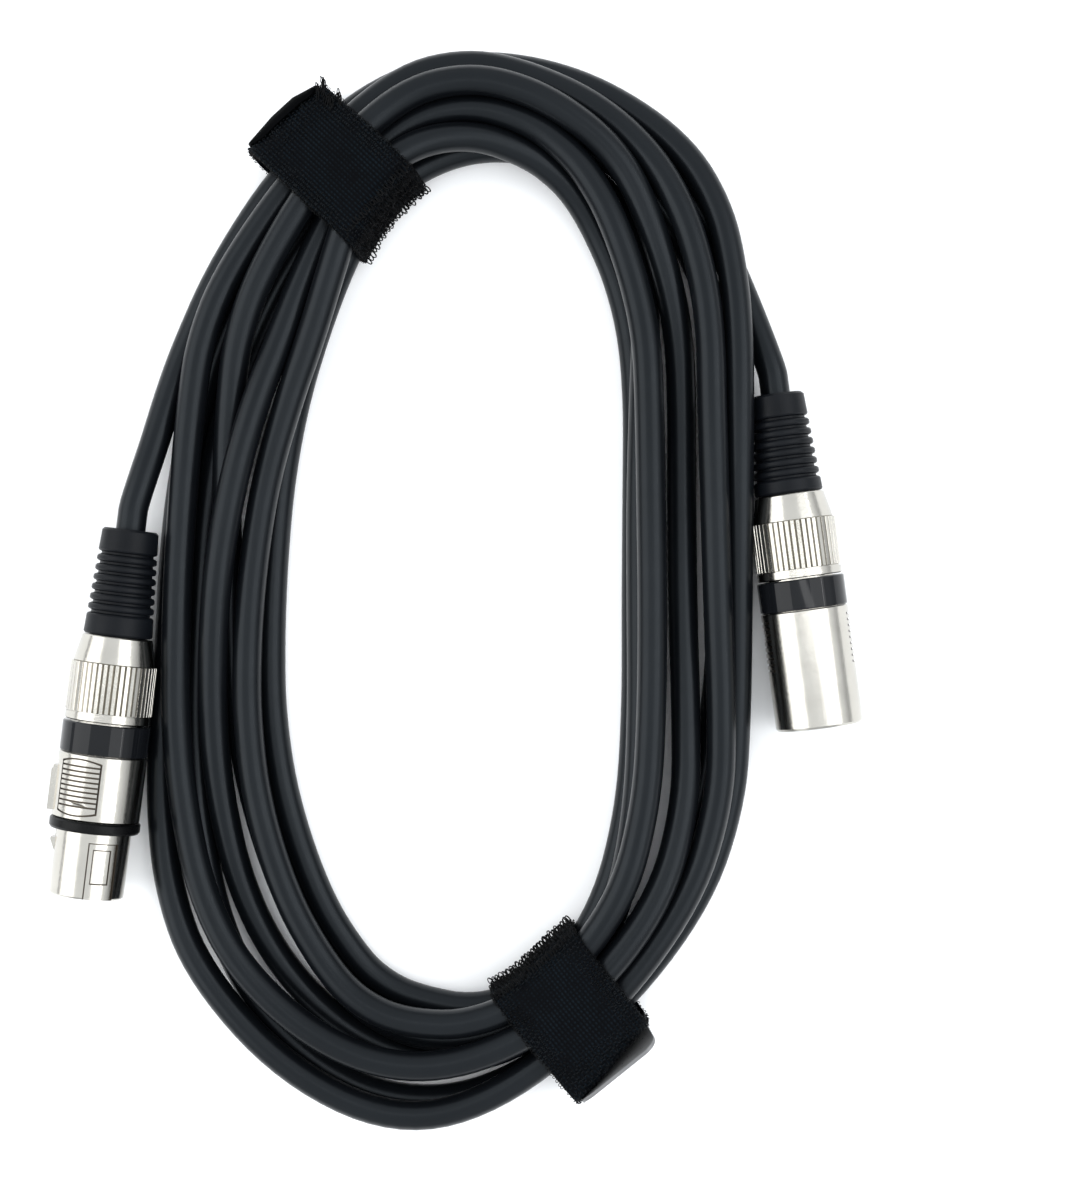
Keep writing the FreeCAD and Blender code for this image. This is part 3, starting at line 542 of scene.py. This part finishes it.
# ---------------------------------------------------------------- straps
# "sides": where the band's outer face stands, as (v, u) points, on a side where the strap is loose
STRAPS = {
    "upper": dict(c=(-0.02383, 0.09165), u=(0.7285, -0.6850), across=0.0322, width=0.0214, outer=-1, seed=11,
                  sides=[(-1, [(-0.0098, -0.0187), (0.0110, -0.0166)])], tab_z=(0.0027, 0.0166), hinge_u=-0.01685,
                  tab_u=[(-0.0100, -0.0192), (-0.0092, -0.0195), (-0.0020, -0.0202), (0.0043, -0.0198), (0.0083, -0.0180), (0.0100, -0.0172)]),
    "lower": dict(c=(0.02509, -0.08922), u=(0.6220, -0.7830), across=0.0280, width=0.0228, outer=1, seed=23,
                  sides=[(1, [(-0.0124, 0.0175), (0.0108, 0.0130)]),
                         (-1, [(-0.0122, -0.0115), (-0.0010, -0.0132), (0.0100, -0.0139)])], tab_z=(0.0027, 0.0168), hinge_u=0.01475,
                  tab_u=[(-0.0110, 0.0176), (-0.0089, 0.0175), (0.0106, 0.0174)]),
}
BAND_T = 0.0011
PILE = 0.00045


def crossings(c, u, v, half_u, station):
    """Where the cable's centre line crosses the plane v = station, as (u, z) pairs."""
    rel = LINE[:, :2] - np.array(c)
    a, b, z = rel @ np.array(u), rel @ np.array(v), LINE[:, 2]
    out = []
    for i in np.nonzero((b[:-1] - station) * (b[1:] - station) <= 0)[0]:
        if b[i + 1] == b[i]:
            continue
        f = (station - b[i]) / (b[i + 1] - b[i])
        aa, zz = a[i] + f * (a[i + 1] - a[i]), z[i] + f * (z[i + 1] - z[i])
        if abs(aa) < half_u:
            out.append((aa, zz))
    return out


def support_outline(discs, radius, angles, floor):
    """Outline of the tight loop round the discs: the largest reach at each normal angle, then the envelope."""
    reach = np.full(len(angles), -1.0)
    for a, z in discs:
        reach = np.maximum(reach, a * np.cos(angles) + z * np.sin(angles) + radius)
    return reach


def loop_points(discs, radius, cx, cz, phis):
    """Distance from (cx, cz) to the tight loop along each direction phi."""
    th = np.linspace(0, 2 * math.pi, 721)[:-1]
    h = np.full(len(th), -1.0)
    for a, z in discs:
        h = np.maximum(h, (a - cx) * np.cos(th) + (z - cz) * np.sin(th) + radius)
    res = []
    for p in phis:
        cs = np.cos(th - p)
        ok = cs > 0.05
        res.append(np.min(h[ok] / cs[ok]))
    return np.array(res)


class Strap:
    def __init__(self, key):
        s = STRAPS[key]
        self.key, self.c = key, s["c"]
        self.u = Vector((s["u"][0], s["u"][1], 0)).normalized()
        self.v = Vector((-self.u.y, self.u.x, 0))
        self.half_u = s["across"] / 2 + 0.004
        self.hw = s["width"] / 2
        self.outer = s["outer"]
        self.rng = random.Random(s["seed"])
        self.n_phi, self.n_v = 150, 15
        mids = crossings(s["c"], self.u[:2], self.v[:2], self.half_u, 0.0)
        self.cx = sum(a for a, z in mids) / len(mids)
        self.cz = 0.0102
        phis = np.linspace(0, 2 * math.pi, self.n_phi + 1)[:-1] - math.pi / 2
        self.phis = phis
        self.stations = np.linspace(-self.hw, self.hw, self.n_v)
        self.rad = []
        for st in self.stations:
            d = crossings(s["c"], self.u[:2], self.v[:2], self.half_u, st)
            for sgn, pts in s["sides"]:
                a = float(np.interp(st, [q[0] for q in pts], [q[1] for q in pts])) - sgn * (CABLE_R + BAND_T + 0.0003)
                d += [(a, 0.0062), (a, 0.0130)]
            self.rad.append(loop_points(d, CABLE_R + 0.00012, self.cx, self.cz, phis))
        self.rad = np.array(self.rad)
        # a strap under tension evens out from one station to the next
        for _ in range(6):
            r = self.rad.copy()
            r[1:-1] = (self.rad[:-2] + 2 * self.rad[1:-1] + self.rad[2:]) / 4
            self.rad = np.maximum(r, self.rad * 0.0 + r)
        print("strap", key, "strands", len(mids), "u %.4f %.4f z %.4f %.4f" % (min(m[0] for m in mids), max(m[0] for m in mids), min(m[1] for m in mids), max(m[1] for m in mids)))

    def radius(self, phi, st):
        """Bilinear radius of the inside of the band."""
        fv = (st + self.hw) / (2 * self.hw) * (self.n_v - 1)
        i = min(max(int(math.floor(fv)), 0), self.n_v - 2)
        tv = min(max(fv - i, 0.0), 1.0)
        fp = ((phi + math.pi / 2) % (2 * math.pi)) / (2 * math.pi) * self.n_phi
        j = int(math.floor(fp)) % self.n_phi
        tp = fp - math.floor(fp)
        k = (j + 1) % self.n_phi
        a = self.rad[i][j] * (1 - tp) + self.rad[i][k] * tp
        b = self.rad[i + 1][j] * (1 - tp) + self.rad[i + 1][k] * tp
        return a * (1 - tv) + b * tv

    def point(self, phi, st, off=0.0):
        r = self.radius(phi, st)
        a, z = self.cx + math.cos(phi) * r, self.cz + math.sin(phi) * r
        e = 0.02
        r2 = self.radius(phi + e, st)
        ta = self.cx + math.cos(phi + e) * r2 - a
        tz = self.cz + math.sin(phi + e) * r2 - z
        l = math.hypot(ta, tz) or 1.0
        na, nz = tz / l, -ta / l
        a += na * off
        z += nz * off
        z = max(z, 0.00012 if off > 0.0004 else 0.0001)
        return Vector((self.c[0], self.c[1], 0)) + self.u * a + self.v * st + Vector((0, 0, z))

    def normal(self, phi, st):
        return (self.point(phi, st, 0.001) - self.point(phi, st, 0.0)).normalized()

    def band(self):
        # fine ribs run the long way round, so they are steps across the width
        ribs = int(round(2 * self.hw / 0.00085))
        cols = ribs * 4 + 1
        rows = 300
        outer, inner = [], []
        for i in range(rows):
            phi = -math.pi / 2 + 2 * math.pi * i / rows
            for j in range(cols):
                st = -self.hw + 2 * self.hw * j / (cols - 1)
                w = 0.5 - 0.5 * math.cos(2 * math.pi * ribs * j / (cols - 1))
                wob = noise.noise(Vector((phi * 9.0, st * 900.0, 3.1))) * 0.00007
                edge = min(1.0, (self.hw - abs(st)) / 0.0006)
                outer.append(self.point(phi, st * 1.0, BAND_T * (0.55 + 0.45 * edge) + 0.0002 * w + wob))
                inner.append(self.point(phi, st, 0.00002))
        verts = outer + inner
        faces = []
        o2 = len(outer)
        for i in range(rows):
            k = (i + 1) % rows
            for j in range(cols - 1):
                a, b, c, d = i * cols + j, i * cols + j + 1, k * cols + j + 1, k * cols + j
                faces.append((a, d, c, b))
                faces.append((o2 + a, o2 + b, o2 + c, o2 + d))
            faces.append((i * cols, o2 + i * cols, o2 + k * cols, k * cols))
            e = cols - 1
            faces.append((i * cols + e, k * cols + e, o2 + k * cols + e, o2 + i * cols + e))
        ob = mesh_object("strap_%s_web" % self.key, verts, faces, WEB[self.key], "hank")
        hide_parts("strap_%s_band" % self.key)
        return ob

    def face_u(self, st, heights):
        """Outer face of the band on the tab's side at the given heights."""
        fold = 0.0 if self.outer > 0 else math.pi
        pts = []
        for k in range(61):
            q = self.point(fold + (k / 60.0 - 0.5) * 2.2, st, BAND_T)
            pts.append((q.z, (q.x - self.c[0]) * self.u.x + (q.y - self.c[1]) * self.u.y))
        pts.sort()
        return np.interp(heights, [q[0] for q in pts], [q[1] for q in pts])

    def tab(self):
        """The end of the strap: a smooth sheet of hook tape on the outer side of the band. Its root is
        sewn to the band along the hinge line, so it stays attached while it peels."""
        s = STRAPS[self.key]
        z0, z1 = s["tab_z"]
        nt, nv, half, corner, thick = 26, 40, self.hw - 0.0010, 0.0030, 0.0008
        skins = []
        for layer in (0.0, 1.0):
            for i in range(nt):
                t = i / (nt - 1)
                z = z0 + (z1 - z0) * t
                cut = max(0.0, (z - (z1 - corner)) / corner)
                hv = half - corner * (1.0 - math.sqrt(max(0.0, 1.0 - cut * cut)))
                for j in range(nv):
                    st = -hv + 2 * hv * j / (nv - 1)
                    face = float(self.face_u(st, [z])[0])
                    goal = float(np.interp(st, [q[0] for q in s["tab_u"]], [q[1] for q in s["tab_u"]]))
                    reach = max(0.0, (goal - face) * self.outer - thick - 0.0003)
                    grow = math.sin(math.pi * min(1.0, 0.08 + t * 0.84)) ** 0.8 if self.outer < 0 else t ** 1.3
                    off = 0.0003 + reach * grow + layer * thick
                    a = face + self.outer * off
                    root = min(1.0, t / 0.22)
                    root = root * root * (3.0 - 2.0 * root)
                    a = (s["hinge_u"] + self.outer * layer * thick) * (1.0 - root) + a * root
                    skins.append(Vector((self.c[0], self.c[1], 0)) + self.u * a + self.v * st + Vector((0, 0, z)))
        n = nt * nv
        faces = []
        for i in range(nt - 1):
            for j in range(nv - 1):
                a, b, c, d = i * nv + j, i * nv + j + 1, (i + 1) * nv + j + 1, (i + 1) * nv + j
                flip = self.outer < 0
                faces.append((a, b, c, d) if flip else (a, d, c, b))
                faces.append((n + a, n + d, n + c, n + b) if flip else (n + a, n + b, n + c, n + d))
        ring = [j for j in range(nv)] + [i * nv + nv - 1 for i in range(1, nt)]
        ring += [(nt - 1) * nv + j for j in range(nv - 2, -1, -1)] + [i * nv for i in range(nt - 2, 0, -1)]
        for k in range(len(ring)):
            a, b = ring[k], ring[(k + 1) % len(ring)]
            faces.append((a, n + a, n + b, b) if self.outer < 0 else (a, b, n + b, n + a))
        # the lower tab gets the grey copy of the tape, whose base colour is a painted reflection
        ob = mesh_object("strap_%s_hook_tab" % self.key, skins, faces, TAB_DARK if self.outer < 0 else TAB_PAINTED_SHEEN,
                         "%s_tab" % self.key)
        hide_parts("strap_%s_tab" % self.key)
        bev = ob.modifiers.new("rounded_rim", "BEVEL")
        bev.width, bev.segments, bev.limit_method, bev.angle_limit = 0.00022, 2, "ANGLE", 0.9
        return ob

    def curl(self, verts, faces, p, out, side, r, thread, squash=0.75, twist=0.0, parts=9):
        """One open yarn loop that stands on p and leans along out."""
        side = (side * math.cos(twist) + Vector((0, 0, 1)) * math.sin(twist)).normalized()
        path = []
        for k in range(parts):
            t = -2.6 + 5.2 * k / (parts - 1)
            path.append(p + out * (r * (1 + math.cos(t))) + side * (r * squash * math.sin(t)))
        if min(q.z for q in path) > 0.00015:
            tube_into(verts, faces, path, thread, 4, False)

    def pile(self):
        """Curled yarn loops on the band: bold near its ends and edges, worn flat in the middle."""
        verts, faces = [], []
        rng = self.rng
        rows_v = int(round(2 * self.hw / 0.00085))
        steps = 118
        for i in range(steps):
            phi0 = -math.pi / 2 + 2 * math.pi * (i + 0.5) / steps
            if math.sin(phi0) < -0.86:
                continue                      # flattened where it lies on the table
            for j in range(rows_v):
                st = -self.hw + 2 * self.hw * (j + 0.5) / rows_v
                phi = phi0 + (0.5 * (j % 2) - 0.25) * 2 * math.pi / steps + rng.uniform(-0.006, 0.006)
                p = self.point(phi, st + rng.uniform(-0.00008, 0.00008), BAND_T)
                along = abs((p.x - self.c[0]) * self.u.x + (p.y - self.c[1]) * self.u.y - self.cx)
                bold = max((along - 0.0085) / 0.004, (abs(st) - self.hw + 0.0050) / 0.0035)
                if bold < rng.uniform(0.0, 0.5):
                    continue
                bold = min(1.0, bold)
                nrm = self.normal(phi, st)
                tang = (self.point(phi + 0.03, st, 0) - self.point(phi - 0.03, st, 0)).normalized()
                r = rng.uniform(0.00020, 0.00028) * (0.6 + 0.4 * bold)
                lean = (tang * rng.choice((-1, 1)) + self.v * rng.uniform(-0.5, 0.5)).normalized()
                self.curl(verts, faces, p, (nrm * 0.8 + lean * 0.7).normalized(), self.v, r * 1.15, 0.00011, 0.9, 0.0, 7)
        return mesh_object("strap_%s_pile" % self.key, verts, faces, LOOP_WITH_PAINTED_GLINTS, "hank")

    def fringe(self):
        """Loose curls along both edges, and the tall open curls of the inner fold, seen against the light."""
        verts, faces = [], []
        rng = self.rng
        for side in (-1, 1):
            n = 112
            for i in range(n):
                phi = -math.pi / 2 + 2 * math.pi * (i + rng.uniform(0, 0.6)) / n
                if math.sin(phi) < -0.8:
                    continue
                p = self.point(phi, side * (self.hw - 0.0003), BAND_T * 0.7)
                nrm = self.normal(phi, side * (self.hw - 0.0004))
                tang = (self.point(phi + 0.03, side * self.hw * 0.98, 0) - self.point(phi - 0.03, side * self.hw * 0.98, 0)).normalized()
                out = (self.v * side + nrm * rng.uniform(-0.1, 0.8)).normalized()
                self.curl(verts, faces, p, out, tang, rng.uniform(0.00022, 0.00040), 0.00008, 0.85)
        inner = math.pi if self.outer > 0 else 0.0
        up = Vector((0, 0, 1))
        for a in range(6):
            phi = inner + (a / 5.0 - 0.45) * 1.25
            per = int(round(2 * self.hw / 0.00088))
            for b in range(per):
                st = -self.hw + 2 * self.hw * (b + 0.5 + 0.5 * (a % 2)) / per + rng.uniform(-0.0001, 0.0001)
                if abs(st) > self.hw:
                    continue
                p = self.point(phi + rng.uniform(-0.02, 0.02), st, BAND_T * 0.9)
                nrm = self.normal(phi, st)
                flat = Vector((nrm.x, nrm.y, 0)).normalized()
                out = (flat + up * rng.uniform(-0.25, 0.35)).normalized()
                self.curl(verts, faces, p, out, self.v, rng.uniform(0.00070, 0.00110), 0.00015, 0.45, rng.uniform(-0.5, 0.5), 11)
        if self.outer < 0:
            # a few long threads pulled out at the far corner of the upper strap
            for k in range(34):
                st = self.hw - rng.uniform(0.0, 0.0036)
                phi = math.pi - rng.uniform(0.25, 0.75)
                p = self.point(phi, st, BAND_T)
                out = (self.normal(phi, st) * 0.5 + self.v * 0.8 - self.u * rng.uniform(0.0, 0.6)).normalized()
                self.curl(verts, faces, p, out, self.u, rng.uniform(0.0006, 0.0012), 0.00012, 0.35, rng.uniform(-0.8, 0.8), 11)
        return mesh_object("strap_%s_curls" % self.key, verts, faces, CURL, "hank")


straps = {}
for key in ("upper", "lower"):
    s = Strap(key)
    s.band()
    s.pile()
    s.fringe()
    s.tab()
    straps[key] = s


# ---------------------------------------------------------------- floor and light
def floor_material():
    m = Mat("pale_floor")
    n1 = m.noise(3.0, 3.0, 0.5)
    n2 = m.noise(900.0, 2.0, 0.5)
    m.set(Base_Color=m.ramp(n1, [(0.3, rgb(0.95, 0.95, 0.95)), (0.7, rgb(0.97, 0.97, 0.97))]))
    m.set(Roughness=0.62, Normal=m.bump(n2, 0.00001, 0.2))
    return m.m


fl = bpy.data.meshes.new("floor")
fl.from_pydata([(-2.5, -2.5, 0), (2.5, -2.5, 0), (2.5, 2.5, 0), (-2.5, 2.5, 0)], [], [(0, 1, 2, 3)])
fl.materials.append(floor_material())
floor = bpy.data.objects.new("floor", fl)
COL.objects.link(floor)


def area(name, loc, target, sx, sy, power, color=(1, 1, 1)):
    li = bpy.data.lights.new(name, "AREA")
    li.shape = "RECTANGLE"
    li.size, li.size_y, li.energy, li.color = sx, sy, power, color
    ob = bpy.data.objects.new(name, li)
    ob.location = loc
    d = Vector(target) - Vector(loc)
    ob.rotation_euler = d.to_track_quat("-Z", "Y").to_euler()
    COL.objects.link(ob)
    return ob


# long softboxes and two narrow strips, all of them running along the connectors (world Y)
area("key", (-1.16, 0.0, 0.78), (0, 0, 0), 1.6, 1.2, 11.5, (1.0, 0.995, 0.985))
area("fill", (0.86, 0.0, 1.10), (0, 0, 0), 1.6, 0.94, 8.5, (0.985, 0.99, 1.0))
area("strip_near", (-0.067, 0.0, 0.52), (-0.067, 0, 0), 0.8, 0.025, 0.25, (1.0, 1.0, 1.0))
area("strip_right", (0.99, 0.0, 0.80), (0, 0, 0), 1.6, 0.02, 1.1, (1.0, 1.0, 1.0))


def studio_world():
    """A white tent: bright overhead, greyer just above the table."""
    world = bpy.data.worlds.new("studio")
    world.use_nodes = True
    nt = world.node_tree
    bg = nt.nodes["Background"]
    tc = nt.nodes.new("ShaderNodeTexCoord")
    sep = nt.nodes.new("ShaderNodeSeparateXYZ")
    nt.links.new(tc.outputs["Generated"], sep.inputs[0])
    fall = nt.nodes.new("ShaderNodeMapRange")
    fall.interpolation_type = "SMOOTHSTEP"
    fall.inputs["From Min"].default_value = 0.10
    fall.inputs["From Max"].default_value = 0.42
    fall.inputs["To Min"].default_value = 0.80
    fall.inputs["To Max"].default_value = 1.45
    nt.links.new(sep.outputs["Z"], fall.inputs["Value"])
    nt.links.new(fall.outputs[0], bg.inputs["Strength"])
    bg.inputs["Color"].default_value = (0.93, 0.965, 1.0, 1.0)
    return world


SC.world = studio_world()
SC.view_settings.view_transform = "Standard"
SC.view_settings.look = "None"
SC.view_settings.exposure = 0.0
SC.view_settings.gamma = 1.0

bpy.context.view_layer.update()
